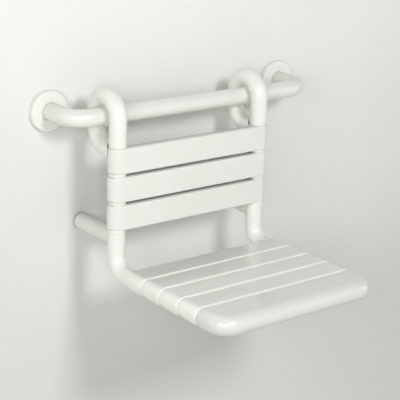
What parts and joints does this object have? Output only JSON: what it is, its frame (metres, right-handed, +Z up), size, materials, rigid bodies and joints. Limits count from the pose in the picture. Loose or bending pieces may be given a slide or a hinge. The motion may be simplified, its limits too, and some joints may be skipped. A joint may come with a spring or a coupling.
{
  "type": "hanging shower seat on a wall grab rail",
  "caption": "White slatted shower seat with a back, hung by two closed hooks on a bent wall grab rail; it slides along the rail and swings up about it.",
  "frame": {"origin": "on the wall, midway between the two rosettes, at the height of the rail's axis", "axes": "+X along the wall, to the right for a person facing it; +Y into the wall, so the room is on -Y; +Z up"},
  "size_m": [0.661, 0.4865, 0.3805],
  "materials": {
    "white_nylon": "glossy moulded polyamide, warm white",
    "steel_core": "zinc-coated steel tube, hidden under the plastic",
    "screw_steel": "stainless steel, machined",
    "liner_nylon": "dull low-friction plastic",
    "buffer_rubber": "light grey rubber, matt"
  },
  "bodies": {
    "rail": {"rail_cover": "white_nylon", "rail_core": "steel_core", "wall_plate_left": "steel_core", "wall_plate_right": "steel_core", "rosette_left": "white_nylon", "rosette_right": "white_nylon", "rail_set_screws": "screw_steel"},
    "liners": {"hook_liner_left": "liner_nylon", "hook_liner_right": "liner_nylon"},
    "seat": {"frame_core": "steel_core", "hook_cover_left": "white_nylon", "hook_cover_right": "white_nylon", "hook_closure_left": "white_nylon", "hook_closure_right": "white_nylon", "back_slat_top": "white_nylon", "back_slat_middle": "white_nylon", "back_slat_bottom": "white_nylon", "back_caps": "white_nylon", "lower_collar_left": "white_nylon", "lower_collar_right": "white_nylon", "knee_cover_left": "white_nylon", "knee_cover_right": "white_nylon", "seat_slat_1": "white_nylon", "seat_slat_2": "white_nylon", "seat_slat_3": "white_nylon", "seat_slat_4": "white_nylon", "seat_caps": "white_nylon", "seat_front": "white_nylon", "seat_front_strip": "white_nylon", "cap_screws": "screw_steel", "strut_cover_left": "white_nylon", "strut_cover_right": "white_nylon", "wall_buffer_left": "buffer_rubber", "wall_buffer_right": "buffer_rubber"}
  },
  "joints": [
    {"name": "rail_slide", "type": "slide", "parent": "rail", "child": "liners", "axis": [1, 0, 0], "range_m": [-0.017, 0.095]},
    {"name": "seat_swing", "type": "hinge", "parent": "liners", "child": "seat", "pos_m": [-0.039, -0.093, 0], "axis": [-1, 0, 0], "range_deg": [0, 135]}
  ]
}
